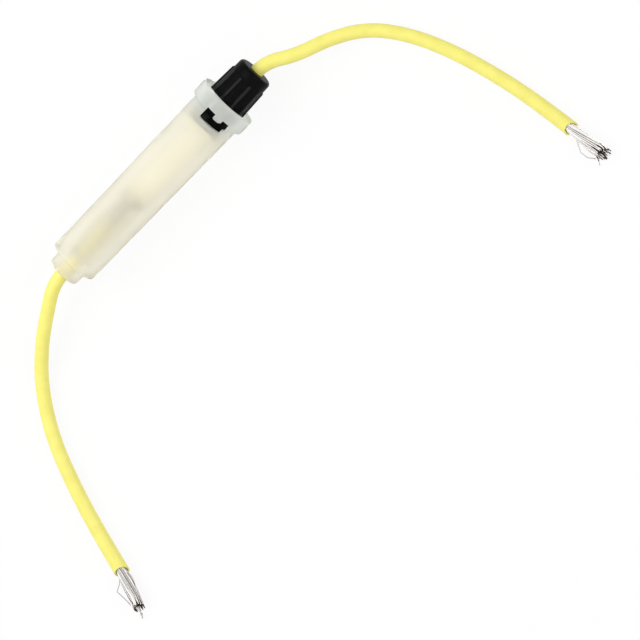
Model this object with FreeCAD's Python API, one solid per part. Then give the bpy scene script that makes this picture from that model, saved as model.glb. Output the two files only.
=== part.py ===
import FreeCAD, Part
import math
import os

# An empty twist-lock in-line holder for a 6.3 x 32 mm glass fuse. A translucent tube takes the
# fuse. A black ribbed cap closes it: two lugs on the cap's barrel go in through lanes in the
# collar, turn under a tongue in each window and spring back into a seat beside it. A coil spring
# in the tail pushes the fuse against the cap. A lead goes out of each end.
#
# The holder lies on its side with its axis along X and the cap at +X. All sizes are millimetres.
# Stations along the axis are measured from the flat tail end of the tube. Angles round the axis
# are measured from +Z towards -Y. The origin is under the middle of the holder, on the floor.

os.makedirs("parts", exist_ok=True)

# The fuse that the holder takes
fuse_d = 6.35
fuse_len = 31.8
fuse_clearance = 0.3            # radial, fuse in its bore

# Housing: tube, collar and tail boss
housing_len = 57.1              # tail end to mouth
tube_taper = 0.8                # on the diameter, from the collar down to the tail
tail_rim_round = 0.7
end_wall = 2.0
collar_wall = 1.45              # over the lane that a lug goes in by
collar_height = 1.1             # over the tube
collar_len = 4.7
collar_back_round = 0.95
collar_front_round = 0.35
boss_wall = 2.35                # round the lead
boss_len = 3.8
boss_round = 0.9
mouth_wall = 0.9                # the thin rim round the recess that the head sits in
mouth_recess_len = 1.0
barrel_end_room = 0.8           # barrel bore past the barrel's end
contact_bore_clearance = 0.1    # radial, tail contact in the closer bore behind the fuse
contact_bore_margin = 0.5       # how far the closer bore runs past the tail contact
mouth_chamfer = 0.35

# Bayonet, two of each, opposite each other: a lane in from the mouth, and a window cut straight
# through the wall with a tongue left standing in it
lug_count = 2
lug_height = 1.5
lug_len = 1.8
lug_width_deg = 14.5
lug_from_deg = -17.25
lug_end_clearance = 0.15        # lug to the window's edge nearest the tail
lug_pass_clearance = 0.1        # lug to the tongue's tip as it turns past
lane_depth_clearance = 0.15     # radial, over the top of a lug
lane_side_clearance_deg = 3.75
tongue_side_clearance_deg = 5.25
tongue_len = 1.45
tongue_width_deg = 18.0
tongue_round = 0.45
seat_clearance_deg = 2.75       # turned lug to the tongue that it springs back beside
window_to_mouth = 3.55
window_side_margin = 0.04       # window's side past the lane's
window_end_clearance = 0.09     # window's other side past the turned lug
seat_extra = 0.6                # the seat beyond the tongue is a little wider
seat_step_len = 1.15

# Cap: ribbed head and barrel
head_len = 11.0
head_gap = 0.1                  # head to the bottom of the mouth's recess, pushed fully in
head_step = 0.3                 # radial, head over the barrel
head_taper = 0.6                # on the diameter, from the head's base to its end
head_end_round = 0.9
rib_count = 10
rib_first_deg = 20.0
rib_d = 1.2
rib_stand = 0.4                 # rib tips over the head, at its base and its end
rib_len = 7.6
barrel_wall = 1.325
barrel_clearance = 0.1          # radial, barrel in its bore
barrel_len = 8.1
barrel_chamfer = 0.3
recess_len = 4.3                # recess in the barrel for the fuse's end

# Leads: stranded wire in plastic insulation, with bare ends
lead_d = 3.6
conductor_d = 1.9
bundle_spread = 0.2             # radial, the bare strands spread a little
bundle_neck = 0.3               # still as packed, next to the insulation
bundle_flare = 0.7
bundle_tip_round = 0.3
lead_hole_clearance = 0.15      # radial, lead in the tail boss and in the cap
tail_bare_len = 9.0
cap_bare_len = 10.5

# Contacts
contact_flange_len = 1.1
contact_rim = 0.55              # round the dish
contact_dish_depth = 0.35
contact_sleeve_wall = 0.55
contact_over_spring = 0.35      # radial, tail contact's flange over the spring
cap_contact_clearance = 0.325   # radial, cap contact in the cap's recess
tail_sleeve_len = 8.4           # what grips the conductor behind the contact's flange
cap_sleeve_len = 4.6
contact_face_gap = 0.05         # running gap where a contact bears on the cap or the spring
fuse_press = 3.4                # how far a fuse pushes the tail contact with the cap fully in

# Tail spring, round the tail lead
spring_clearance = 0.3          # radial, lead in the spring
spring_wire_d = 0.7
spring_turns = 8.0
spring_closed_turns = 1.0       # at each end
spring_turn_gap = 0.035         # a closed turn all but touches the next one
spring_points_per_turn = 12

# Routes of the two leads outside the holder, chosen by hand. Each point is the distance out
# from the exit, the distance to -Y, and the height as a share of the axis height above the
# floor. The first point lies inside the exit, so that the lead leaves it straight.
tail_route = (
    (-3.8, 0.0, 1.0),
    (3.4, 0.0, 1.0),
    (10.4, 3.2, 0.8),
    (17.8, 8.2, 0.43),
    (26.0, 15.7, 0.0),
    (33.5, 26.8, 0.0),
    (38.7, 39.5, 0.0),
    (42.6, 51.3, 0.0),
    (45.3, 62.6, 0.0),
)
cap_route = (
    (-3.6, 0.0, 1.0),
    (3.6, 0.0, 1.0),
    (10.7, 3.1, 0.8),
    (18.5, 7.1, 0.43),
    (26.4, 12.6, 0.0),
    (32.9, 21.6, 0.0),
    (37.8, 33.8, 0.0),
    (41.1, 47.1, 0.0),
    (42.8, 57.2, 0.0),
    (43.8, 66.0, 0.0),
)
corner_share = 0.45             # share of the shorter run that an arc takes from each corner

# Values that follow from the sizes above: radii, from the inside out
lead_hole_r = lead_d / 2 + lead_hole_clearance
boss_r = lead_hole_r + boss_wall
bundle_r = conductor_d / 2 + bundle_spread
contact_sleeve_r = conductor_d / 2 + contact_sleeve_wall
spring_r = lead_d / 2 + spring_clearance + spring_wire_d
spring_closed_pitch = spring_wire_d + spring_turn_gap
tail_flange_r = spring_r + contact_over_spring
contact_bore_r = tail_flange_r + contact_bore_clearance
fuse_bore_r = fuse_d / 2 + fuse_clearance
cap_flange_r = fuse_bore_r - cap_contact_clearance
barrel_r = fuse_bore_r + barrel_wall
barrel_bore_r = barrel_r + barrel_clearance
head_base_r = barrel_r + head_step
head_end_r = head_base_r - head_taper / 2
lug_tip_r = barrel_r + lug_height
lane_r = lug_tip_r + lane_depth_clearance
collar_r = lane_r + collar_wall
mouth_recess_r = collar_r - mouth_wall
tube_mouth_r = collar_r - collar_height
tube_tail_r = tube_mouth_r - tube_taper / 2
axis_height = collar_r

# Stations, from the mouth to the tail
recess_floor = housing_len - mouth_recess_len
head_base = recess_floor + head_gap
cap_end = head_base + head_len
window_front = housing_len - window_to_mouth
tongue_tip = window_front - tongue_len
lug_back = tongue_tip - lug_pass_clearance - lug_len
window_back = lug_back - lug_end_clearance
barrel_end = head_base - barrel_len
barrel_bore_end = barrel_end - barrel_end_room
recess_bottom = barrel_end + recess_len
cap_contact_back = recess_bottom - contact_face_gap
cap_contact_face = cap_contact_back - contact_flange_len
tail_contact_face = cap_contact_face - fuse_len + fuse_press    # with no fuse in
tail_contact_back = tail_contact_face - contact_flange_len
fuse_bore_start = tail_contact_face + contact_bore_margin
middle = (cap_end - boss_len) / 2

# Angles of the bayonet, and the sides of a window as distances from the axis towards -Y
lane_from_deg = lug_from_deg - lane_side_clearance_deg
tongue_from_deg = lug_from_deg + lug_width_deg + tongue_side_clearance_deg
tongue_to_deg = tongue_from_deg + tongue_width_deg
turned_lug_deg = tongue_to_deg + seat_clearance_deg + lug_width_deg
window_from = lane_r * math.sin(math.radians(lane_from_deg)) - window_side_margin
window_to = lug_tip_r * math.sin(math.radians(turned_lug_deg)) + window_end_clearance
seat_to = window_to + seat_extra

through = 1.0                   # how far a cutter runs past the face that it cuts

V = FreeCAD.Vector
ORIGIN = V(0, 0, 0)
AXIS = V(1, 0, 0)


def turned(profile):
    """A solid turned about the axis from (station, radius) corners."""
    wire = Part.makePolygon([V(s, 0, r) for s, r in profile + profile[:1]])
    return Part.Face(wire).revolve(ORIGIN, AXIS, 360)


def sector(station_from, station_to, r_from, r_to, deg_from, deg_to):
    """A block of a ring between two stations, two radii and two angles."""
    corners = [V(station_from, 0, r_from), V(station_to, 0, r_from),
               V(station_to, 0, r_to), V(station_from, 0, r_to)]
    face = Part.Face(Part.makePolygon(corners + corners[:1]))
    face.rotate(ORIGIN, AXIS, deg_from)
    return face.revolve(ORIGIN, AXIS, deg_to - deg_from)


def round_the_axis(solid, count):
    """Copies of a solid spread evenly round the axis."""
    copies = []
    for index in range(count):
        copy = solid.copy()
        copy.rotate(ORIGIN, AXIS, 360.0 * index / count)
        copies.append(copy)
    return copies


def rim_edges(solid, station, radius):
    """The circular edges of a solid at one station and radius."""
    found = []
    for edge in solid.Edges:
        curve = edge.Curve
        if not isinstance(curve, Part.Circle):
            continue
        on_axis = abs(curve.Center.y) < 1e-4 and abs(curve.Center.z) < 1e-4
        if on_axis and abs(curve.Center.x - station) < 1e-4 and abs(curve.Radius - radius) < 1e-4:
            found.append(edge)
    return found


def make_housing():
    """The moulded housing: boss, tube and collar, bored and cut for the bayonet."""
    body = turned([
        (-boss_len, 0), (-boss_len, boss_r), (0, boss_r), (0, tube_tail_r),
        (housing_len - collar_len, tube_mouth_r), (housing_len - collar_len, collar_r),
        (housing_len, collar_r), (housing_len, 0),
    ])
    body = body.makeFillet(boss_round, rim_edges(body, -boss_len, boss_r))
    body = body.makeFillet(tail_rim_round, rim_edges(body, 0, tube_tail_r))
    body = body.makeFillet(collar_back_round, rim_edges(body, housing_len - collar_len, collar_r))
    body = body.makeFillet(collar_front_round, rim_edges(body, housing_len, collar_r))
    bores = turned([
        (-boss_len - through, 0), (-boss_len - through, lead_hole_r), (end_wall, lead_hole_r),
        (end_wall, contact_bore_r), (fuse_bore_start, contact_bore_r), (fuse_bore_start, fuse_bore_r),
        (barrel_bore_end, fuse_bore_r), (barrel_bore_end, barrel_bore_r),
        (recess_floor - mouth_chamfer, barrel_bore_r), (recess_floor, barrel_bore_r + mouth_chamfer),
        (recess_floor, mouth_recess_r), (housing_len + through, mouth_recess_r),
        (housing_len + through, 0),
    ])
    body = body.cut(bores)
    return body.cut(round_the_axis(make_bayonet_cut(), lug_count))


def straight_cut(station_from, station_to, across_from, across_to):
    """A block over the bore between two stations and two distances towards -Y."""
    return Part.makeBox(station_to - station_from, across_to - across_from, collar_r,
                        V(station_from, -across_to, through))


def make_bayonet_cut():
    """What one lug needs: a lane in from the mouth, and a window with its tongue left standing."""
    inside = barrel_r - through
    outside = collar_r + through
    lane = sector(window_back, housing_len + through, inside, lane_r, lane_from_deg, tongue_from_deg)
    window = straight_cut(window_back, window_front, window_from, window_to)
    seat = straight_cut(window_back + seat_step_len, window_front, window_from, seat_to)
    tongue = sector(tongue_tip, window_front + through, inside, outside,
                    tongue_from_deg, tongue_to_deg)
    tip_corners = [edge for edge in tongue.Edges
                   if abs(edge.Vertexes[0].X - tongue_tip) < 1e-4
                   and abs(edge.Vertexes[-1].X - tongue_tip) < 1e-4
                   and isinstance(edge.Curve, Part.Line)]
    tongue = tongue.makeFillet(tongue_round, tip_corners)
    return window.fuse(seat).cut(tongue).fuse(lane)


def make_rib():
    """One rib of the cap's head: a round bar laid along the head's slope."""
    base = V(head_base, 0, head_base_r + rib_stand - rib_d / 2)
    tip = V(head_base + rib_len, 0, head_end_r + rib_stand - rib_d / 2)
    along = tip - base
    bar = Part.makeCylinder(rib_d / 2, along.Length, base, along)
    return bar.fuse(Part.makeSphere(rib_d / 2, tip))


def make_cap():
    """The cap: ribbed head, barrel with a recess for the fuse's end, and two lugs."""
    body = turned([
        (barrel_end, 0), (barrel_end, barrel_r - barrel_chamfer),
        (barrel_end + barrel_chamfer, barrel_r), (head_base, barrel_r),
        (head_base, head_base_r), (cap_end, head_end_r), (cap_end, 0),
    ])
    body = body.makeFillet(head_end_round, rim_edges(body, cap_end, head_end_r))
    past_base = turned([(head_base, 0), (head_base, collar_r), (cap_end, collar_r), (cap_end, 0)])
    ribs = [rib.common(past_base) for rib in round_the_axis(make_rib(), rib_count)]
    for rib in ribs:
        rib.rotate(ORIGIN, AXIS, rib_first_deg)
    lug = sector(lug_back, lug_back + lug_len, barrel_r - barrel_chamfer, lug_tip_r,
                 lug_from_deg, lug_from_deg + lug_width_deg)
    body = body.fuse(ribs + round_the_axis(lug, lug_count)).removeSplitter()
    bores = turned([
        (barrel_end - through, 0), (barrel_end - through, fuse_bore_r), (recess_bottom, fuse_bore_r),
        (recess_bottom, lead_hole_r), (cap_end + through, lead_hole_r), (cap_end + through, 0),
    ])
    return body.cut(bores)


def make_contact(face, towards_lead, flange_r, sleeve_len):
    """A dished contact with the sleeve that grips the conductor. It faces away from its lead."""
    back = contact_flange_len
    profile = [
        (0, flange_r), (back, flange_r), (back, contact_sleeve_r),
        (back + sleeve_len, contact_sleeve_r),
        (back + sleeve_len, conductor_d / 2), (contact_dish_depth, conductor_d / 2),
        (0, flange_r - contact_rim),
    ]
    return turned([(face + towards_lead * s, r) for s, r in profile])


def make_spring(station_from, station_to):
    """A compression spring with a closed turn at each end."""
    mean_r = spring_r - spring_wire_d / 2
    first = station_from + spring_wire_d / 2
    last = station_to - spring_wire_d / 2
    closed_rise = spring_closed_turns * spring_closed_pitch
    open_turns = spring_turns - 2 * spring_closed_turns
    open_rise = last - first - 2 * closed_rise
    points = []
    for step in range(int(spring_turns * spring_points_per_turn) + 1):
        turn = step / spring_points_per_turn
        if turn < spring_closed_turns:
            station = first + closed_rise * turn / spring_closed_turns
        elif turn < spring_closed_turns + open_turns:
            station = first + closed_rise + open_rise * (turn - spring_closed_turns) / open_turns
        else:
            station = last - closed_rise * (spring_turns - turn) / spring_closed_turns
        angle = math.radians(360.0 * turn)
        points.append(V(station, mean_r * math.sin(angle), mean_r * math.cos(angle)))
    curve = Part.BSplineCurve()
    curve.interpolate(points)
    path = Part.Wire(curve.toShape())
    start = curve.value(curve.FirstParameter)
    heading = curve.tangent(curve.FirstParameter)[0]
    section = Part.Wire(Part.makeCircle(spring_wire_d / 2, start, heading))
    return path.makePipeShell([section], True, True)


def lead_points(exit_station, outwards, route):
    """A route's points in stations, Y and heights above the axis."""
    floor = lead_d / 2 - axis_height
    return [V(exit_station + outwards * out, -aside, floor * (1 - share))
            for out, aside, share in route]


def lead_path(name, points, inner_end, past_end):
    """Straight runs joined by tangent arcs, from inside the holder to a little past the route."""
    edges = []
    radii = []
    start = inner_end
    for before, corner, after in zip(points, points[1:], points[2:]):
        way_in = (corner - before).normalize()
        way_out = (after - corner).normalize()
        turn = way_in.getAngle(way_out)
        setback = corner_share * min((corner - before).Length, (after - corner).Length)
        radius = setback / math.tan(turn / 2)
        arc_from = corner - way_in * setback
        arc_to = corner + way_out * setback
        inwards = (way_out - way_in).normalize()
        arc_mid = corner + inwards * (radius / math.cos(turn / 2) - radius)
        edges.append(Part.LineSegment(start, arc_from).toShape())
        edges.append(Part.Arc(arc_from, arc_mid, arc_to).toShape())
        radii.append(radius)
        start = arc_to
    last_way = (points[-1] - points[-2]).normalize()
    edges.append(Part.LineSegment(start, points[-1] + last_way * past_end).toShape())
    print(name, "bend radii, mm:", [round(radius, 1) for radius in radii])
    return Part.Wire(edges)


def rod_along(path, diameter):
    """A round rod along a path."""
    first = path.Edges[0]
    heading = first.tangentAt(first.FirstParameter)
    section = Part.Wire(Part.makeCircle(diameter / 2, first.valueAt(first.FirstParameter), heading))
    return path.makePipeShell([section], True, False)


def make_bundle(start, way, bare_len):
    """The bare strands at the end of a conductor, which spread a little past the insulation."""
    flare_end = bundle_neck + bundle_flare
    flare = Part.makeCone(conductor_d / 2, bundle_r, bundle_flare, start + way * bundle_neck, way)
    bundle = Part.makeCylinder(bundle_r, bare_len - flare_end, start + way * flare_end, way)
    tip = start + way * bare_len
    rim = [edge for edge in bundle.Edges
           if isinstance(edge.Curve, Part.Circle) and (edge.Curve.Center - tip).Length < 1e-4]
    return flare.fuse(bundle.makeFillet(bundle_tip_round, rim))


def make_lead(name, exit_station, outwards, route, insulation_end, conductor_end, bare_len):
    """The plastic insulation of a lead, and the conductor that runs through it."""
    points = lead_points(exit_station, outwards, route)
    cover_path = lead_path(name, points, V(insulation_end, 0, 0), 0)
    core_path = lead_path(name + " conductor", points, V(conductor_end, 0, 0), bundle_neck)
    way = (points[-1] - points[-2]).normalize()
    core = rod_along(core_path, conductor_d).fuse(make_bundle(points[-1], way, bare_len))
    cover = rod_along(cover_path, lead_d).cut(rod_along(cover_path, conductor_d))
    ring_area = math.pi / 4 * (lead_d ** 2 - conductor_d ** 2)
    print(name, "lead: insulation %.1f mm, volume against section x length %.4f" % (
        cover_path.Length, cover.Volume / (cover_path.Length * ring_area)))
    return cover, core


def save(name, shape):
    """Move a shape from the axis to its place on the floor and write it."""
    placed = shape.copy()
    placed.translate(V(-middle, 0, axis_height))
    placed.exportStep("parts/" + name + ".step")
    print(name, "solids", len(placed.Solids), "valid", placed.isValid(), "volume %.2f" % placed.Volume)


save("housing", make_housing())
save("cap", make_cap())
save("tail_contact", make_contact(tail_contact_face, -1, tail_flange_r, tail_sleeve_len))
save("cap_contact", make_contact(cap_contact_face, 1, cap_flange_r, cap_sleeve_len))
save("tail_spring", make_spring(end_wall + contact_face_gap, tail_contact_back - contact_face_gap))

tail_lead, tail_conductor = make_lead(
    "tail", -boss_len, -1, tail_route, tail_contact_back - tail_sleeve_len,
    tail_contact_face - contact_dish_depth, tail_bare_len)
save("tail_lead_insulation", tail_lead)
save("tail_lead_conductor", tail_conductor)

cap_lead, cap_conductor = make_lead(
    "cap", cap_end, 1, cap_route, cap_contact_back + cap_sleeve_len,
    cap_contact_face + contact_dish_depth, cap_bare_len)
save("cap_lead_insulation", cap_lead)
save("cap_lead_conductor", cap_conductor)
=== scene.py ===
# %% [markdown]
# # An inline fuse holder, from its CAD frame to a finished picture
#
# The holder is a translucent tube with a black twist-lock cap and a yellow lead out of each end.
# The CAD model already fixes the sizes and places of the rigid pieces, so this script only
# dresses them: it softens the moulded edges, winds the spring, lays the leads, fans out the bare
# strands and gives each surface its material. Everything is in metres, in the frame of the CAD
# model: the holder lies along X with its cap at +X, and the floor is at Z = 0.

# %% Load the frame
import bpy
import math
import random
from mathutils import Matrix, Vector
from mathutils.kdtree import KDTree


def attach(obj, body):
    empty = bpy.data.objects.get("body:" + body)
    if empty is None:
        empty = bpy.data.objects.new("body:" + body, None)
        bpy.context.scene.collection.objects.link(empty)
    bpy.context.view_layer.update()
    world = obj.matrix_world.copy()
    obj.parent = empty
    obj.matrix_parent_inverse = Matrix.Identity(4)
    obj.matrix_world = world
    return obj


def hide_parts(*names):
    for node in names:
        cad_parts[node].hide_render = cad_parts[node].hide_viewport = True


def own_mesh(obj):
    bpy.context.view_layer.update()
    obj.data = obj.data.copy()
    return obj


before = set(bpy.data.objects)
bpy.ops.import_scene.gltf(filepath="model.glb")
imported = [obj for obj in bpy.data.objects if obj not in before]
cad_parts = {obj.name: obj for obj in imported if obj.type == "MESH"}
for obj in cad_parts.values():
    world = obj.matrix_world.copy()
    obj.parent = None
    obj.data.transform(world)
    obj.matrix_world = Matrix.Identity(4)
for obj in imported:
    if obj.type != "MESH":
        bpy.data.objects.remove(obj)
bpy.context.view_layer.update()

# %% [markdown]
# ## The sizes that every cell shares
#
# The holder's axis runs 7.9 mm above the floor, which is the radius of its collar. A station is
# a distance along that axis from the flat tail end of the tube, as in the CAD source, and
# `at_station` turns one into a point of the frame. Each lead is 3.6 mm across. Vertices closer
# than WELD are one vertex, and ROUND_ANGLE is the sharpest edge of a round piece that is still
# shaded smooth.

# %% Shared sizes
MM = 0.001
AXIS_HEIGHT = 7.9 * MM
MIDDLE = 31.7 * MM
LEAD_D = 3.6 * MM
WELD = 0.002 * MM
ROUND_ANGLE = math.radians(40)
CAP_END = 67.2 * MM
BOSS_LEN = 3.8 * MM


def at_station(station):
    """A station along the axis, in metres, as a point of the frame."""
    return Vector((station - MIDDLE, 0.0, AXIS_HEIGHT))


scene = bpy.context.scene
print("the axis runs from", at_station(-BOSS_LEN)[:], "to", at_station(CAP_END)[:])

# %% [markdown]
# ## The camera
#
# The photograph was taken from above with a long lens. The holder's axis runs up and to the
# right in it, and the view leans a little towards the cap. Three directions describe such a
# camera: to the right in the picture, up in the picture, and from the object to the lens. They
# are worked out from the lean and from the angle of the holder in the picture, and they become
# the three columns of the camera's matrix.

# %% Camera
LEAN = math.radians(10.7)
HOLDER_ANGLE = math.radians(45.86)
LENS_DISTANCE = 2.0
FIELD = 0.160
SENSOR_MM = 36.0
MIDDLE_RIGHT = 61.75
MIDDLE_DOWN = 14.41

along_holder = Vector((math.cos(LEAN), 0.0, -math.sin(LEAN)))
across_holder = Vector((0.0, 1.0, 0.0))
picture_right = math.cos(HOLDER_ANGLE) * along_holder - math.sin(HOLDER_ANGLE) * across_holder
picture_up = math.sin(HOLDER_ANGLE) * along_holder + math.cos(HOLDER_ANGLE) * across_holder
to_lens = picture_right.cross(picture_up)
# the picture's middle, in mm to the right of the tube's tail end and down from it
picture_middle = (at_station(0.0) + picture_right * MIDDLE_RIGHT * MM
                  - picture_up * MIDDLE_DOWN * MM)

camera_data = bpy.data.cameras.new("camera")
camera_data.sensor_width = SENSOR_MM
camera_data.lens = SENSOR_MM / 2 / (FIELD / 2 / LENS_DISTANCE)
camera_data.clip_start = 0.01
camera = bpy.data.objects.new("camera", camera_data)
scene.collection.objects.link(camera)
turn = Matrix((picture_right, picture_up, to_lens)).transposed().to_4x4()
camera.matrix_world = Matrix.Translation(picture_middle + to_lens * LENS_DISTANCE) @ turn
scene.camera = camera
print("camera at", [round(value, 3) for value in camera.matrix_world.translation],
      "lens, mm:", round(camera_data.lens, 1))

# %% [markdown]
# ## The two leads
#
# A lead is stranded wire in a soft yellow plastic. It is a fixed length of something springy, so
# it is one smooth NURBS curve with round bevel, not a chain of straight bits. Its line keeps
# within a millimetre of the CAD tube's and a little closer to the photographed lead: straight out
# of the holder, down to the floor within a few centimetres, then over the floor in one loose
# curve. It starts inside the holder, where the insulation is taken to meet its contact, which the
# photograph doesn't show. The two curve settings that matter are made after the points are there:
# order 3, for a smooth line, and endpoints, so that it reaches its first and last points.

# %% Lead curves
CORE_D = 2.7 * MM
FLOOR_LINE = LEAD_D / 2
TAIL_EXIT = at_station(-BOSS_LEN)
CAP_EXIT = at_station(CAP_END)

# distance out from the exit, distance towards -Y, height as a share of the axis height
TAIL_ROUTE = ((-17.15, 0, 1), (-3.8, 0, 1), (3.4, 0.1, 0.995), (10.1, 3.9, 0.8), (17.6, 8.5, 0.43),
              (26, 15.7, 0), (33.5, 26.8, 0.006), (38.7, 39.5, 0.012), (42.6, 51.3, 0.021),
              (45.7, 62.7, 0.03))
CAP_ROUTE = ((-10.25, 0, 1), (-3.6, 0, 1), (3.4, 0.1, 0.99), (9.6, 4.3, 0.78), (18.4, 7.4, 0.43),
             (26.4, 12.6, 0), (32.9, 21.6, 0), (37.8, 33.8, 0.006), (41.1, 47.1, 0.012),
             (42.8, 57.2, 0.021), (43.8, 66, 0.03))
# the insulation widens a little towards the end where it was cut and stripped
END_SWELL = (1.02, 1.04, 1.07, 1.1)


def route_points(exit_point, outwards, route):
    """A route as points of the frame."""
    rise = AXIS_HEIGHT - FLOOR_LINE
    return [Vector((exit_point.x + outwards * out * MM, -aside * MM, FLOOR_LINE + rise * share))
            for out, aside, share in route]


def lead_curve(name, points):
    """A round lead along a smooth line."""
    data = bpy.data.curves.new(name, "CURVE")
    data.dimensions = "3D"
    spline = data.splines.new("NURBS")
    spline.points.add(len(points) - 1)
    for control, point in zip(spline.points, points):
        control.co = (*point, 1.0)
    for control, swell in zip(spline.points[-len(END_SWELL):], END_SWELL):
        control.radius = swell
    spline.order_u = 3
    spline.use_endpoint_u = True
    spline.resolution_u = 16
    data.bevel_depth = LEAD_D / 2
    data.bevel_resolution = 8
    curve = bpy.data.objects.new(name, data)
    scene.collection.objects.link(curve)
    return curve


def line_points(curve):
    """The points of a curve's own line, read with its bevel off."""
    depth = curve.data.bevel_depth
    curve.data.bevel_depth = 0.0
    bpy.context.view_layer.update()
    evaluated = curve.evaluated_get(bpy.context.evaluated_depsgraph_get())
    mesh = bpy.data.meshes.new_from_object(evaluated)
    points = [vertex.co.copy() for vertex in mesh.vertices]
    bpy.data.meshes.remove(mesh)
    curve.data.bevel_depth = depth
    bpy.context.view_layer.update()
    return points


def line_length(points):
    """The length of a line of points."""
    return sum((after - before).length for before, after in zip(points, points[1:]))


tail_curve = lead_curve("tail_lead_cover", route_points(TAIL_EXIT, -1, TAIL_ROUTE))
cap_curve = lead_curve("cap_lead_cover", route_points(CAP_EXIT, 1, CAP_ROUTE))
tail_line = line_points(tail_curve)
cap_line = line_points(cap_curve)
for name, line in (("tail", tail_line), ("cap", cap_line)):
    print(name, "lead, mm:", round(line_length(line) / MM, 1),
          "from", line[0][:], "to", line[-1][:])

# %% [markdown]
# ## Hollow covers
#
# What shows of a lead is its insulation, a plastic sleeve that ends in a clean cut round the bare
# wires. A curve's bevel is solid to look at and has no cut end, so the curve is converted to a
# mesh, and a Solidify modifier gives that skin the insulation's wall, inwards. Its rim, which is
# the cut, gets a material of its own later. The cut is slanted in the photograph. Moving only the
# last ring would fold the tube, so the slant grows over the last 9 mm.

# %% Covers
CUT_SLANT = 0.85
SLANT_OVER = 9 * MM


def only(piece):
    """Select one object and nothing else."""
    bpy.ops.object.select_all(action="DESELECT")
    piece.select_set(True)
    bpy.context.view_layer.objects.active = piece


def hollow_cover(curve, line):
    """The curve's skin as a mesh tube with the insulation's wall, open ends and a slanted cut."""
    only(curve)
    bpy.ops.object.convert(target="MESH")
    cover = bpy.context.view_layer.objects.active
    tip = line[-1]
    way = (line[-1] - line[-2]).normalized()
    for vertex in cover.data.vertices:
        share = 1 - (tip - vertex.co).length / SLANT_OVER
        if share > 0:
            vertex.co -= way * CUT_SLANT * share * (vertex.co.z - tip.z)
    wall = cover.modifiers.new("wall", "SOLIDIFY")
    wall.thickness = (LEAD_D - CORE_D) / 2
    wall.offset = -1.0
    # the rim takes the second material, painted shade for the cut end
    wall.material_offset_rim = 1
    bpy.ops.object.modifier_apply(modifier=wall.name)
    bpy.ops.object.shade_smooth_by_angle(angle=ROUND_ANGLE)
    return cover


tail_insulation = hollow_cover(tail_curve, tail_line)
cap_insulation = hollow_cover(cap_curve, cap_line)
for cover in (tail_insulation, cap_insulation):
    print(cover.name, "faces:", len(cover.data.polygons),
          "size, mm:", [round(value / MM, 1) for value in cover.dimensions])

# %% [markdown]
# ## A helper for softened mouldings
#
# The solids from CAD have the right shape but razor-sharp edges and flat facets. A real moulding
# has a small radius on every edge, and that radius is what catches the light. So a copy of the
# solid is made, its loose triangles are merged, flat neighbours are joined into clean faces, and
# a narrow bevel is applied to the sharp edges only. The copy then stands for the CAD node.


# %% Softened copies
def softened(node, name, radius, sharp_deg=32.0, segments=2):
    """A copy of a CAD node with merged faces and softly rounded edges, which replaces it."""
    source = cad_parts[node]
    mesh = source.data.copy()
    mesh.materials.clear()
    mesh.name = name
    piece = bpy.data.objects.new(name, mesh)
    scene.collection.objects.link(piece)
    only(piece)
    bpy.ops.object.mode_set(mode="EDIT")
    bpy.ops.mesh.select_all(action="SELECT")
    bpy.ops.mesh.remove_doubles(threshold=WELD)
    bpy.ops.mesh.customdata_custom_splitnormals_clear()
    bpy.ops.mesh.dissolve_limited(angle_limit=math.radians(0.6))
    bpy.ops.object.mode_set(mode="OBJECT")
    if radius:
        bevel = piece.modifiers.new("soft edges", "BEVEL")
        bevel.width = radius
        bevel.segments = segments
        bevel.limit_method = "ANGLE"
        bevel.angle_limit = math.radians(sharp_deg)
        bevel.use_clamp_overlap = True
        bpy.ops.object.modifier_apply(modifier=bevel.name)
    bpy.ops.object.shade_smooth_by_angle(angle=math.radians(sharp_deg))
    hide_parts(node)
    print(name, "faces:", len(piece.data.polygons))
    return piece


housing = softened("housing", "housing_moulding", 0.08 * MM)
cap = softened("cap", "cap_moulding", 0.07 * MM)
tail_contact = softened("tail_contact", "tail_contact_turning", 0.05 * MM)
cap_contact = softened("cap_contact", "cap_contact_turning", 0.05 * MM)

# %% [markdown]
# ## The tail spring
#
# The spring behind the tail contact is wound from 0.7 mm wire with a closed turn at each end. The
# photograph shows only its grey shadow, so its wire and its eight turns are a guess. A helix is
# easiest as a curve whose points are worked out turn by turn, with a round bevel for the wire. It
# is then made a mesh, because the spring shortens when a fuse presses the contact, and only a
# mesh can be squashed.

# %% Spring
SPRING_FROM = 2.05 * MM
SPRING_TO = 21.7 * MM
SPRING_WIRE_D = 0.7 * MM
SPRING_MEAN_R = 2.45 * MM
SPRING_TURNS = 8
CLOSED_PITCH = 0.735 * MM
POINTS_PER_TURN = 24


def spring_point(turn):
    """The wire's centre after so many turns."""
    first = SPRING_FROM + SPRING_WIRE_D / 2
    last = SPRING_TO - SPRING_WIRE_D / 2
    open_pitch = (last - first - 2 * CLOSED_PITCH) / (SPRING_TURNS - 2)
    if turn < 1:
        station = first + CLOSED_PITCH * turn
    elif turn < SPRING_TURNS - 1:
        station = first + CLOSED_PITCH + open_pitch * (turn - 1)
    else:
        station = last - CLOSED_PITCH * (SPRING_TURNS - turn)
    angle = 2 * math.pi * turn
    around = Vector((0.0, SPRING_MEAN_R * math.sin(angle), SPRING_MEAN_R * math.cos(angle)))
    return at_station(station) + around


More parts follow.
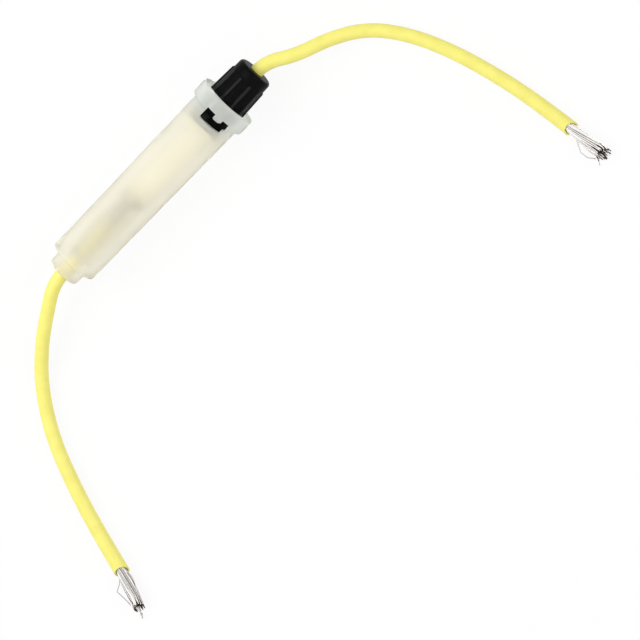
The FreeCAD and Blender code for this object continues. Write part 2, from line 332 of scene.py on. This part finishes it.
def wire(name, lines, radius, sides=8, cyclic=False):
    """Round wires along lines of points, as one mesh object."""
    data = bpy.data.curves.new(name, "CURVE")
    data.dimensions = "3D"
    for line in lines:
        spline = data.splines.new("POLY")
        spline.points.add(len(line) - 1)
        for control, point in zip(spline.points, line):
            control.co = (*point, 1.0)
    data.bevel_depth = radius
    data.bevel_resolution = max(1, sides // 2 - 2)
    data.use_fill_caps = True
    piece = bpy.data.objects.new(name, data)
    scene.collection.objects.link(piece)
    only(piece)
    bpy.ops.object.convert(target="MESH")
    piece = bpy.context.view_layer.objects.active
    bpy.ops.object.shade_smooth_by_angle(angle=ROUND_ANGLE)
    return piece


spring_line = [spring_point(step / POINTS_PER_TURN)
               for step in range(SPRING_TURNS * POINTS_PER_TURN + 1)]
spring = wire("tail_spring_wire", [spring_line], SPRING_WIRE_D / 2, sides=16)
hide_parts("tail_spring")
print("spring wire, mm:", round(line_length(spring_line) / MM, 1))

# %% [markdown]
# ## The bare strands
#
# At the far end of each lead the insulation is stripped, and the fine tinned wires that were
# packed in it spring apart. They start on packed rings inside the insulation. Each keeps a
# little of the twist that it had in the cable, spreads out towards its tip and wanders a little.
# The bundle was nipped off at a slant, so the wires on top are shorter and the cut is seen from
# above. The inner wires end lower, and a dark end painted on them and on the lower wires as shade
# makes the cut look hollow. The tail's bundle leans a little to one side. A few wires escape and
# curl back, and those are listed after the photograph. The numbers that make the others differ
# come from a seeded generator, so that each run gives the same wires.

# %% Strands
STRAND_D = 0.27 * MM
RINGS = ((1, 0.0), (6, 0.27 * MM), (12, 0.54 * MM), (20, 0.81 * MM), (29, 1.08 * MM))
OUTER_RING = RINGS[-1][1]
SLANT = 0.85
HOLLOW = 1.3 * MM
PACKED_LEN = 1.5 * MM
DRIFT = 0.2 * MM
CURL = 0.45 * MM
CUT_LEN = 0.3 * MM
PAINTED_SHADE_LEN = 1.7 * MM
STRAY_TONE = 0.4
STEPS = 17
BETWEEN = 8


def bundle_line(dice, tip, way, side, up, radius, angle, bare_len, belly, spread):
    """One wire of a bundle, from inside the insulation to its cut end."""
    depth = 1 - radius / OUTER_RING
    twist = dice.uniform(0.75, 1.05)
    wander = [dice.uniform(-1, 1) for _ in range(4)]
    end_height = radius * (1 + spread) * math.sin(angle + twist)
    reach = bare_len - SLANT * end_height - HOLLOW * depth + dice.uniform(-0.25, 0.25) * MM
    line = []
    for step in range(STEPS):
        share = step / (STEPS - 1)
        out = radius * (1 + spread * share ** 1.3 + belly * math.sin(share * math.pi))
        around = angle + twist * share
        drift = DRIFT * math.sin(share * (3 + wander[1])) * wander[2] * share
        curl = CURL * wander[0] * share ** 8
        point = (tip + way * (share * (reach + PACKED_LEN) - PACKED_LEN)
                 + side * (out * math.cos(around) + drift + curl)
                 + up * (out * math.sin(around) + drift * wander[3] * 0.5 + abs(curl)))
        point.z = max(point.z, STRAND_D * 0.6)
        line.append(point)
    return line


def strand_bundle(name, line, bare_len, belly, spread, lean, dullest, seed, strays):
    """The fanned-out wires at the end of a lead, and the wires that stray from them."""
    dice = random.Random(seed)
    tip = line[-1]
    way = (line[-1] - line[-2]).normalized()
    side = way.cross(Vector((0, 0, 1))).normalized()
    up = side.cross(way).normalized()
    lines = []
    tones_and_shade = []
    cut_and_shade_lens = []
    for count, radius in RINGS:
        for index in range(count):
            angle = 2 * math.pi * index / count + dice.uniform(-0.1, 0.1)
            lines.append(bundle_line(dice, tip, way, side, up, radius, angle,
                                     bare_len, belly, spread))
            # each wire's tone is random, and painted darker towards the inner rings as shade
            tones_and_shade.append(dice.uniform(dullest, 0.95) * (0.2 + 0.8 * radius / OUTER_RING))
            # inner wires and wires that end low get a longer dark end, painted shade
            low = -(lines[-1][-1] - tip).dot(up) / OUTER_RING
            inner = radius < OUTER_RING
            shade_share = min(1.0, max(0.9 * inner, low + 0.5))
            # one wire in five gets no painted shade, only its dark cut
            cut_and_shade_lens.append(CUT_LEN + PAINTED_SHADE_LEN * shade_share * (index % 5 > 0))
    for stray in strays:
        lines.append([tip + way * a * MM + side * b * MM + up * c * MM for a, b, c in stray])
        tones_and_shade.append(STRAY_TONE)
        cut_and_shade_lens.append(CUT_LEN)
    for line_of_wire in lines:
        for point in line_of_wire:
            point += side * lean * max(0.0, (point - tip).dot(way))
    bundle = wire(name, lines, STRAND_D / 2, sides=8)
    shade_strands(bundle, lines, tones_and_shade, cut_and_shade_lens)
    print(name, "wires:", len(lines), "faces:", len(bundle.data.polygons))
    return bundle


def shade_strands(bundle, lines, tones_and_shade, cut_and_shade_lens):
    """Each wire's tone and shade as an attribute, and the second material on its shaded end."""
    mesh = bundle.data
    points = [(before.lerp(after, part / BETWEEN), owner)
              for owner, line in enumerate(lines)
              for before, after in zip(line, line[1:])
              for part in range(BETWEEN + 1)]
    tree = KDTree(len(points))
    for index, (point, _) in enumerate(points):
        tree.insert(point, index)
    tree.balance()
    tone = mesh.attributes.new("strand_tone_and_shade", "FLOAT", "POINT")
    owners = [points[tree.find(vertex.co)[1]][1] for vertex in mesh.vertices]
    tone.data.foreach_set("value", [tones_and_shade[owner] for owner in owners])
    for face in mesh.polygons:
        owner = points[tree.find(face.center)[1]][1]
        face.material_index = int((face.center - lines[owner][-1]).length < cut_and_shade_lens[owner])


# along the bundle, to the picture's lower left of it, and up from it, in mm
tail_strays = [
    [(-1.0, 0.8, 0.2), (0.6, 0.95, 0.3), (2.2, 1.8, 0.4), (3.8, 3.4, 0.0), (5.2, 2.9, -0.3),
     (7.4, 2.1, -0.5), (9.0, 1.7, -0.6)],
    [(-1.0, -0.8, 0.3), (0.2, -1.0, 0.6), (0.9, -1.5, 0.6), (2.6, -1.9, 0.5), (4.5, -1.7, 0.3),
     (7.2, -1.1, 0.3), (8.4, -0.8, 0.2)],
    [(-1.0, 0.1, -0.4), (4.0, 0.2, -0.6), (8.2, 0.1, -0.6), (9.6, 0.45, -0.5), (10.7, 0.2, -0.7),
     (11.8, 0.55, -0.9), (12.7, 0.4, -1.0)],
    [(-1.0, 0.2, -0.5), (4.0, 0.3, -0.8), (8.2, 0.4, -0.8), (9.6, 0.2, -0.7), (10.7, 0.5, -0.9),
     (11.8, 0.25, -1.1), (12.9, 0.65, -1.2)],
    [(-1.0, 0.3, -0.3), (4.0, 0.1, -0.5), (8.2, 0.0, -0.4), (9.4, 0.35, -0.3), (10.5, 0.15, -0.6),
     (11.6, 0.45, -0.7), (12.4, 0.2, -0.9)],
    [(-1.0, 0.0, -0.2), (4.0, 0.5, -0.4), (8.2, 0.3, -0.2), (9.5, 0.05, -0.6), (10.6, 0.4, -0.5),
     (11.7, 0.15, -0.9), (12.6, 0.5, -1.0)],
]
cap_strays = [
    [(-1.0, 0.8, 0.2), (0.8, 0.95, 0.3), (2.2, 1.2, 0.5), (3.5, 1.85, 0.5), (5.5, 3.25, 0.1),
     (7.6, 3.3, -0.2), (9.5, 2.25, -0.4), (10.2, 1.5, -0.4)],
    [(-1.0, 0.5, -0.3), (4.0, 0.9, -0.4), (8.0, 1.2, -0.5), (9.9, 1.9, -0.8), (11.2, 3.1, -1.2)],
    [(-1.0, -0.7, 0.4), (4.0, -1.0, 0.6), (7.0, -1.2, 0.8), (8.2, -1.8, 1.1)],
]
tail_strands = strand_bundle(
    "tail_lead_strands", tail_line, bare_len=9.9 * MM, belly=0.3, spread=0.15, lean=0.1,
    dullest=0.1, seed=11, strays=tail_strays)
cap_strands = strand_bundle(
    "cap_lead_strands", cap_line, bare_len=10.2 * MM, belly=0.15, spread=0.6, lean=0.0,
    dullest=0.7, seed=23, strays=cap_strays)

# %% [markdown]
# ## Solder at the contacts
#
# Inside the holder each conductor is taken to come through its contact and to be soldered there.
# That is a guess, because the photograph doesn't show it. The joint is a small bright dome in the
# contact's dish, which shows once the cap is pulled off. It is a round form about the axis, so
# half of its outline is drawn as a chain of edges and spun.


# %% Solder domes
def turned_piece(name, profile):
    """A closed form turned about the holder's axis from (station, radius) corners."""
    mesh = bpy.data.meshes.new(name)
    corners = [at_station(station) + Vector((0, 0, radius)) for station, radius in profile]
    mesh.from_pydata([corner[:] for corner in corners],
                     [(index, index + 1) for index in range(len(corners) - 1)], [])
    piece = bpy.data.objects.new(name, mesh)
    scene.collection.objects.link(piece)
    only(piece)
    bpy.ops.object.mode_set(mode="EDIT")
    bpy.ops.mesh.select_all(action="SELECT")
    bpy.ops.mesh.spin(steps=32, angle=2 * math.pi, center=at_station(0)[:], axis=(1, 0, 0))
    bpy.ops.mesh.select_all(action="SELECT")
    bpy.ops.mesh.remove_doubles(threshold=WELD)
    bpy.ops.mesh.normals_make_consistent(inside=False)
    bpy.ops.object.mode_set(mode="OBJECT")
    bpy.ops.object.shade_smooth_by_angle(angle=math.radians(50))
    print(name, "faces:", len(piece.data.polygons))
    return piece


def solder_dome(name, face, towards_lead):
    """The soldered end of a conductor, which closes the hole in its contact."""
    outline = ((0.08, 0.0), (0.1, 0.35), (0.16, 0.66), (0.27, 0.92), (0.36, 0.945),
               (1.6, 0.945), (1.6, 0.0))
    return turned_piece(name, [(face + towards_lead * depth * MM, radius * MM)
                               for depth, radius in outline])


TAIL_CONTACT_FACE = 22.85 * MM
CAP_CONTACT_FACE = 51.25 * MM
tail_solder = solder_dome("tail_solder_dome", TAIL_CONTACT_FACE, -1)
cap_solder = solder_dome("cap_solder_dome", CAP_CONTACT_FACE, 1)

# %% [markdown]
# ## What rides on what
#
# Each piece is told which body of the mechanism it moves with. The housing carries the spring.
# The cap turns by itself. Each lead moves with its own contact.

# %% Ride
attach(housing, "housing")
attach(spring, "housing")
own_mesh(spring)
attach(cap, "cap")
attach(tail_contact, "tail_lead")
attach(tail_insulation, "tail_lead")
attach(tail_strands, "tail_lead")
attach(tail_solder, "tail_lead")
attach(cap_contact, "cap_lead")
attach(cap_insulation, "cap_lead")
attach(cap_strands, "cap_lead")
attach(cap_solder, "cap_lead")
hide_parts("tail_lead_insulation")
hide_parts("cap_lead_insulation")
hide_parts("tail_lead_conductor")
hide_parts("cap_lead_conductor")

# %% [markdown]

# %% [markdown]
# ## Shared effects
#
# Several finishes need the same two effects. One is a fine grain that makes gloss uneven and
# lifts the surface a little. The other is a slow mottle that shifts a colour over a few
# millimetres. Each is a node group with named inputs, built once.


# %% Node groups
def new_group(name, inputs, outputs):
    """An empty node group with named sockets, and its two end nodes."""
    group = bpy.data.node_groups.new(name, "ShaderNodeTree")
    for label, kind, value in inputs:
        socket = group.interface.new_socket(name=label, in_out="INPUT", socket_type=kind)
        if value is not None:
            socket.default_value = value
    for label, kind in outputs:
        group.interface.new_socket(name=label, in_out="OUTPUT", socket_type=kind)
    return group, group.nodes.new("NodeGroupInput"), group.nodes.new("NodeGroupOutput")


def grain_group():
    """Fine noise as a value round 0.5, which feeds roughness and bump."""
    group, ends_in, ends_out = new_group(
        "fine grain",
        [("Vector", "NodeSocketVector", None), ("Scale", "NodeSocketFloat", 900.0),
         ("Low", "NodeSocketFloat", 0.3), ("High", "NodeSocketFloat", 0.5)],
        [("Roughness", "NodeSocketFloat"), ("Height", "NodeSocketFloat")])
    noise = group.nodes.new("ShaderNodeTexNoise")
    noise.inputs["Detail"].default_value = 5.0
    noise.inputs["Roughness"].default_value = 0.6
    spread = group.nodes.new("ShaderNodeMapRange")
    spread.inputs["From Min"].default_value = 0.3
    spread.inputs["From Max"].default_value = 0.7
    link = group.links.new
    link(ends_in.outputs["Vector"], noise.inputs["Vector"])
    link(ends_in.outputs["Scale"], noise.inputs["Scale"])
    link(noise.outputs["Fac"], spread.inputs["Value"])
    link(ends_in.outputs["Low"], spread.inputs["To Min"])
    link(ends_in.outputs["High"], spread.inputs["To Max"])
    link(spread.outputs["Result"], ends_out.inputs["Roughness"])
    link(noise.outputs["Fac"], ends_out.inputs["Height"])
    return group


def mottle_group():
    """A colour that drifts slowly between two others."""
    group, ends_in, ends_out = new_group(
        "slow mottle",
        [("Vector", "NodeSocketVector", None), ("Scale", "NodeSocketFloat", 150.0),
         ("Colour", "NodeSocketColor", (1, 1, 1, 1)),
         ("Other Colour", "NodeSocketColor", (1, 1, 1, 1))],
        [("Colour", "NodeSocketColor")])
    noise = group.nodes.new("ShaderNodeTexNoise")
    noise.inputs["Detail"].default_value = 3.0
    spread = group.nodes.new("ShaderNodeMapRange")
    spread.inputs["From Min"].default_value = 0.35
    spread.inputs["From Max"].default_value = 0.65
    blend = group.nodes.new("ShaderNodeMix")
    blend.data_type = "RGBA"
    link = group.links.new
    link(ends_in.outputs["Vector"], noise.inputs["Vector"])
    link(ends_in.outputs["Scale"], noise.inputs["Scale"])
    link(noise.outputs["Fac"], spread.inputs["Value"])
    link(spread.outputs["Result"], blend.inputs["Factor"])
    link(ends_in.outputs["Colour"], blend.inputs["A"])
    link(ends_in.outputs["Other Colour"], blend.inputs["B"])
    link(blend.outputs["Result"], ends_out.inputs["Colour"])
    return group


fine_grain = grain_group()
slow_mottle = mottle_group()
print("shared groups:", [group.name for group in (fine_grain, slow_mottle)])


# %% [markdown]
# ## A helper for materials
#
# Every finish below is built the same way: a colour, which may drift or follow a mask, and a
# grain. `Finish` holds one material and makes those nodes, so that each finish is a few lines.


# %% Material helper
class Finish:
    """A material under construction, with short names for its nodes and links."""

    def __init__(self, name):
        self.material = bpy.data.materials.new(name)
        self.material.use_nodes = True
        self.nodes = self.material.node_tree.nodes
        self.link = self.material.node_tree.links.new
        self.shader = self.nodes["Principled BSDF"]
        self.place = self.nodes.new("ShaderNodeTexCoord")

    def set(self, **values):
        """Values that are the same all over, set on the shader's own sockets."""
        for label, value in values.items():
            self.shader.inputs[label.replace("_", " ")].default_value = value

    def group(self, group, **values):
        """A shared effect, reading Object coordinates, with its own values."""
        node = self.nodes.new("ShaderNodeGroup")
        node.node_tree = group
        self.link(self.place.outputs["Object"], node.inputs["Vector"])
        for label, value in values.items():
            node.inputs[label.replace("_", " ")].default_value = value
        return node

    def mottle(self, scale, colour, other_colour):
        """A colour that drifts slowly between two others, as a socket."""
        node = self.group(slow_mottle, Scale=scale, Colour=colour, Other_Colour=other_colour)
        return node.outputs["Colour"]

    def blend(self, mask, start, end):
        """A colour that goes from one to another by a mask. Each is a socket or fixed."""
        node = self.nodes.new("ShaderNodeMix")
        node.data_type = "RGBA"
        self.link(mask, node.inputs["Factor"])
        for socket, colour in ((node.inputs["A"], start), (node.inputs["B"], end)):
            if isinstance(colour, bpy.types.NodeSocket):
                self.link(colour, socket)
            else:
                socket.default_value = colour
        return node.outputs["Result"]

    def mask(self, attribute):
        """A mesh attribute as a mask."""
        node = self.nodes.new("ShaderNodeAttribute")
        node.attribute_name = attribute
        return node.outputs["Fac"]

    def colour(self, socket):
        """The finish's base colour."""
        self.link(socket, self.shader.inputs["Base Color"])

    def grain(self, scale, low, high, strength, distance):
        """An uneven gloss between two roughnesses, and a small relief."""
        grain = self.group(fine_grain, Scale=scale, Low=low, High=high)
        self.link(grain.outputs["Roughness"], self.shader.inputs["Roughness"])
        relief = self.nodes.new("ShaderNodeBump")
        relief.inputs["Strength"].default_value = strength
        relief.inputs["Distance"].default_value = distance
        self.link(grain.outputs["Height"], relief.inputs["Height"])
        self.link(relief.outputs["Normal"], self.shader.inputs["Normal"])

    def wear(self, piece, slot, *others):
        """Put the finish on a piece, with others after it. The slot is not used."""
        for finish in (self, *others):
            piece.data.materials.append(finish.material)


# %% [markdown]
# ## The housing's plastic
#
# The housing is taken to be unfilled nylon, a milky plastic that lets much of the light through
# and scatters it. Part of the shader is therefore transmission, with a rough surface, so that the
# spring shows as a soft shadow, and the rest is a warm ivory diffuse. The bending of light is set
# to 1.2. Real nylon's is about 1.53. The lower value was chosen by comparing renders with the
# photograph. Where the cap's black barrel lies behind the wall the plastic looks cooler, so a
# slightly bluish tint is painted on the ivory between two stations near the collar and stays so to
# the mouth. That goes all round, also where the photograph's collar has no black behind it.

# %% Housing finish
# stations of the painted bluish tint near the collar
COOL_FROM = 47.0 * MM
COOL_TO = 53.0 * MM
nylon = Finish("milky nylon")
nylon.set(Transmission_Weight=0.68, IOR=1.2)
along = nylon.nodes.new("ShaderNodeSeparateXYZ")
nylon.link(nylon.place.outputs["Object"], along.inputs["Vector"])
over_black = nylon.nodes.new("ShaderNodeMapRange")
over_black.interpolation_type = "SMOOTHSTEP"
over_black.inputs["From Min"].default_value = at_station(COOL_FROM).x
over_black.inputs["From Max"].default_value = at_station(COOL_TO).x
nylon.link(along.outputs["X"], over_black.inputs["Value"])
ivory = nylon.mottle(120.0, (0.95, 0.925, 0.815, 1), (0.93, 0.905, 0.785, 1))
# the bluish blend near the collar is a painted tint for the black barrel behind the wall
nylon.colour(nylon.blend(over_black.outputs["Result"], ivory, (0.925, 0.945, 0.9, 1)))
nylon.grain(1400.0, 0.5, 0.64, strength=0.25, distance=0.00003)
nylon.wear(housing, "housing_plastic")
print("cooler plastic from station, mm:", round(COOL_FROM / MM), "to", round(COOL_TO / MM))

# %% [markdown]
# ## The cap's plastic
#
# The cap is moulded in black with a half-gloss surface. The crests of its ribs catch the light as
# grey lines, and here that highlight is painted on them as a lighter black.
# Where the crests are is worked out on the mesh, from each vertex's distance to the axis, and the
# finish reads that as an attribute.

# %% Cap finish
HEAD_BASE = 56.2 * MM
RIB_LEN = 7.6 * MM
CREST_R = 5.5 * MM
CREST_DROP = 0.3 * MM
CREST_BAND = 0.05 * MM


def mark_crests(piece):
    """1 on the rib crests, where a highlight is painted, and 0 below them, as a mesh attribute."""
    values = []
    for vertex in piece.data.vertices:
        along = (vertex.co.x - at_station(HEAD_BASE).x) / RIB_LEN
        radius = math.hypot(vertex.co.y, vertex.co.z - AXIS_HEIGHT)
        below = CREST_R - CREST_DROP * along - radius
        on_rib = -0.02 < along < 1.1
        values.append(max(0.0, 1 - max(0.0, below - CREST_BAND) / CREST_BAND) if on_rib else 0.0)
    piece.data.attributes.new("crest_painted_highlight", "FLOAT", "POINT").data.foreach_set("value", values)
    print("crest vertices:", sum(value > 0.5 for value in values), "of", len(values))


mark_crests(cap)
black = Finish("black moulding")
black.set(IOR=1.5, Specular_IOR_Level=0.05)
deep = black.mottle(700.0, (0.0012, 0.0012, 0.0016, 1), (0.0026, 0.0026, 0.003, 1))
# a lighter black along the rib crests: a painted highlight
black.colour(black.blend(black.mask("crest_painted_highlight"), deep, (0.02, 0.02, 0.022, 1)))
black.grain(1800.0, 0.3, 0.5, strength=0.3, distance=0.00003)
black.wear(cap, "cap_plastic")

# %% [markdown]
# ## The lead's insulation
#
# A pale lemon plastic, soft and slightly glossy. Its cut end, the rim made with the cover, is
# painted dark as shade, the shadow in the open end round the strands.

# %% Lead finish
lemon = Finish("lemon insulation")
lemon.set(IOR=1.5)
lemon.colour(lemon.mottle(260.0, (0.875, 0.81, 0.188, 1), (0.82, 0.76, 0.165, 1)))
lemon.grain(1500.0, 0.36, 0.5, strength=0.15, distance=0.00003)

cut_edge_shade = Finish("cut insulation, painted shade")
cut_edge_shade.set(IOR=1.45, Roughness=0.7)
# near-black olive on the cut end: painted shade
cut_edge_shade.colour(cut_edge_shade.mottle(900.0, (0.14, 0.11, 0.025, 1), (0.07, 0.05, 0.015, 1)))
for cover in (tail_insulation, cap_insulation):
    lemon.wear(cover, "lead_insulation", cut_edge_shade)
    print(cover.name, "wears", [material.name for material in cover.data.materials])

# %% [markdown]
# ## Metals
#
# The contacts are taken to be plated brass, because the spot in the photograph is grey, the
# spring plated steel wire and the strands tinned copper. Each is a metal with its own tint and
# its own grain.


# %% Metal finishes
def metal(name, colour, other_colour, grain_scale, low, high):
    """A metal with a tint that drifts and an uneven gloss."""
    finish = Finish(name)
    finish.set(Metallic=1.0)
    finish.colour(finish.mottle(400.0, colour, other_colour))
    finish.grain(grain_scale, low, high, strength=0.2, distance=0.00002)
    return finish


brass = metal("plated brass", (0.50, 0.46, 0.38, 1), (0.40, 0.37, 0.31, 1), 2500.0, 0.22, 0.4)
steel = metal("plated wire", (0.50, 0.50, 0.50, 1), (0.40, 0.40, 0.41, 1), 2500.0, 0.25, 0.4)
solder = metal("solder", (0.80, 0.80, 0.79, 1), (0.66, 0.66, 0.65, 1), 900.0, 0.2, 0.34)
brass.wear(tail_contact, "contact_brass")
brass.wear(cap_contact, "contact_brass")
steel.wear(spring, "spring_steel")
solder.wear(tail_solder, "lead_conductor")
solder.wear(cap_solder, "lead_conductor")

# %% [markdown]
# The strands need two things more. Each wire has its own tone, which differs at random and is
# painted darker towards the inner rings as shade, and that tone is the attribute made with the
# wires. Their cut ends are bare copper gone brown, near black as painted shade from the others,
# and on inner and lower wires that painted shade reaches further back.

# %% Strand finishes
tin = Finish("tinned strands")
tin.set(Metallic=1.0)
# dark where inner rings carry painted shade, bright for the outer wires' tin
tin.colour(tin.blend(tin.mask("strand_tone_and_shade"), (0.17, 0.155, 0.14, 1), (0.97, 0.945, 0.925, 1)))
tin.grain(2200.0, 0.25, 0.45, strength=0.2, distance=0.00002)

# near-black cut ends: copper gone brown, mostly painted shade
cut_ends_and_shade = Finish("cut strand ends and painted shade")
cut_ends_and_shade.set(Metallic=0.6, Roughness=0.55)
cut_ends_and_shade.colour(cut_ends_and_shade.mottle(1500.0, (0.022, 0.017, 0.015, 1), (0.09, 0.065, 0.055, 1)))
for strands in (tail_strands, cap_strands):
    tin.wear(strands, "lead_conductor", cut_ends_and_shade)
    print(strands.name, "wears", [material.name for material in strands.data.materials])

# %% [markdown]
# ## The floor
#
# The photograph's background is pure white. A white floor alone would come out grey, so the
# floor's material adds white for the rays that the camera, a reflection or the clear plastic
# sends, while part of it stays an ordinary diffuse surface, which takes the object's shadow.

# %% Floor
bpy.ops.object.select_all(action="DESELECT")
bpy.ops.mesh.primitive_plane_add(size=6.0, location=(0, 0, 0))
floor = bpy.context.view_layer.objects.active
floor.name = "floor"


def background_rays(nodes, link):
    """1 for camera, glossy and transmission rays, 0 for the rest."""
    path = nodes.new("ShaderNodeLightPath")
    first = nodes.new("ShaderNodeMath")
    first.operation = "MAXIMUM"
    second = nodes.new("ShaderNodeMath")
    second.operation = "MAXIMUM"
    link(path.outputs["Is Camera Ray"], first.inputs[0])
    link(path.outputs["Is Glossy Ray"], first.inputs[1])
    link(first.outputs[0], second.inputs[0])
    link(path.outputs["Is Transmission Ray"], second.inputs[1])
    return second.outputs[0]


FLOOR_WHITE = 0.9
PAINT_WHITE = 0.88
floor_material = bpy.data.materials.new("white floor")
floor_material.use_nodes = True
nodes = floor_material.node_tree.nodes
link = floor_material.node_tree.links.new
nodes.clear()
paint = nodes.new("ShaderNodeBsdfDiffuse")
paint.inputs["Color"].default_value = (PAINT_WHITE, PAINT_WHITE, PAINT_WHITE, 1)
glow = nodes.new("ShaderNodeEmission")
glow.inputs["Color"].default_value = (1, 1, 1, 1)
glow.inputs["Strength"].default_value = 1.0
share = nodes.new("ShaderNodeMath")
share.operation = "MULTIPLY"
share.inputs[1].default_value = FLOOR_WHITE
mix = nodes.new("ShaderNodeMixShader")
output = nodes.new("ShaderNodeOutputMaterial")
link(background_rays(nodes, link), share.inputs[0])
link(share.outputs[0], mix.inputs["Fac"])
link(paint.outputs[0], mix.inputs[1])
link(glow.outputs[0], mix.inputs[2])
link(mix.outputs[0], output.inputs["Surface"])
floor.data.materials.append(floor_material)
print("floor: white for", FLOOR_WHITE, "of what the background rays see")

# %% [markdown]
# ## Light
#
# Plain soft studio light: a pale world all round, a large soft lamp to the left of the picture
# and a weaker one to the right, both 0.6 m from the picture's plane towards the lens.

# %% World and lamps
WORLD_STRENGTH = 0.62
KEY_POWER = 4.7
FILL_POWER = 1.7
world = bpy.data.worlds.new("studio")
scene.world = world
world.use_nodes = True
nodes = world.node_tree.nodes
link = world.node_tree.links.new
nodes.clear()
all_round = nodes.new("ShaderNodeBackground")
all_round.inputs["Color"].default_value = (1, 1, 1, 1)
all_round.inputs["Strength"].default_value = WORLD_STRENGTH
white = nodes.new("ShaderNodeBackground")
white.inputs["Color"].default_value = (1, 1, 1, 1)
white.inputs["Strength"].default_value = 1.0
mix = nodes.new("ShaderNodeMixShader")
output = nodes.new("ShaderNodeOutputWorld")
link(background_rays(nodes, link), mix.inputs["Fac"])
link(all_round.outputs[0], mix.inputs[1])
link(white.outputs[0], mix.inputs[2])
link(mix.outputs[0], output.inputs["Surface"])


def soft_lamp(name, place, size, power):
    """A square lamp that looks at the middle of the picture."""
    data = bpy.data.lights.new(name, "AREA")
    data.shape = "SQUARE"
    data.size = size
    data.energy = power
    lamp = bpy.data.objects.new(name, data)
    lamp.location = place
    lamp.rotation_euler = (picture_middle - Vector(place)).to_track_quat("-Z", "Y").to_euler()
    scene.collection.objects.link(lamp)
    return lamp


key_place = picture_middle + to_lens * 0.6 + picture_up * 0.05 - picture_right * 0.7
fill_place = picture_middle + to_lens * 0.6 + picture_up * 0.05 + picture_right * 0.45
key = soft_lamp("key lamp", key_place, 0.6, KEY_POWER)
fill = soft_lamp("fill lamp", fill_place, 0.7, FILL_POWER)
scene.view_settings.view_transform = "Standard"
print("lamps:", key.name, fill.name)

# %% Update the scene
bpy.context.view_layer.update()
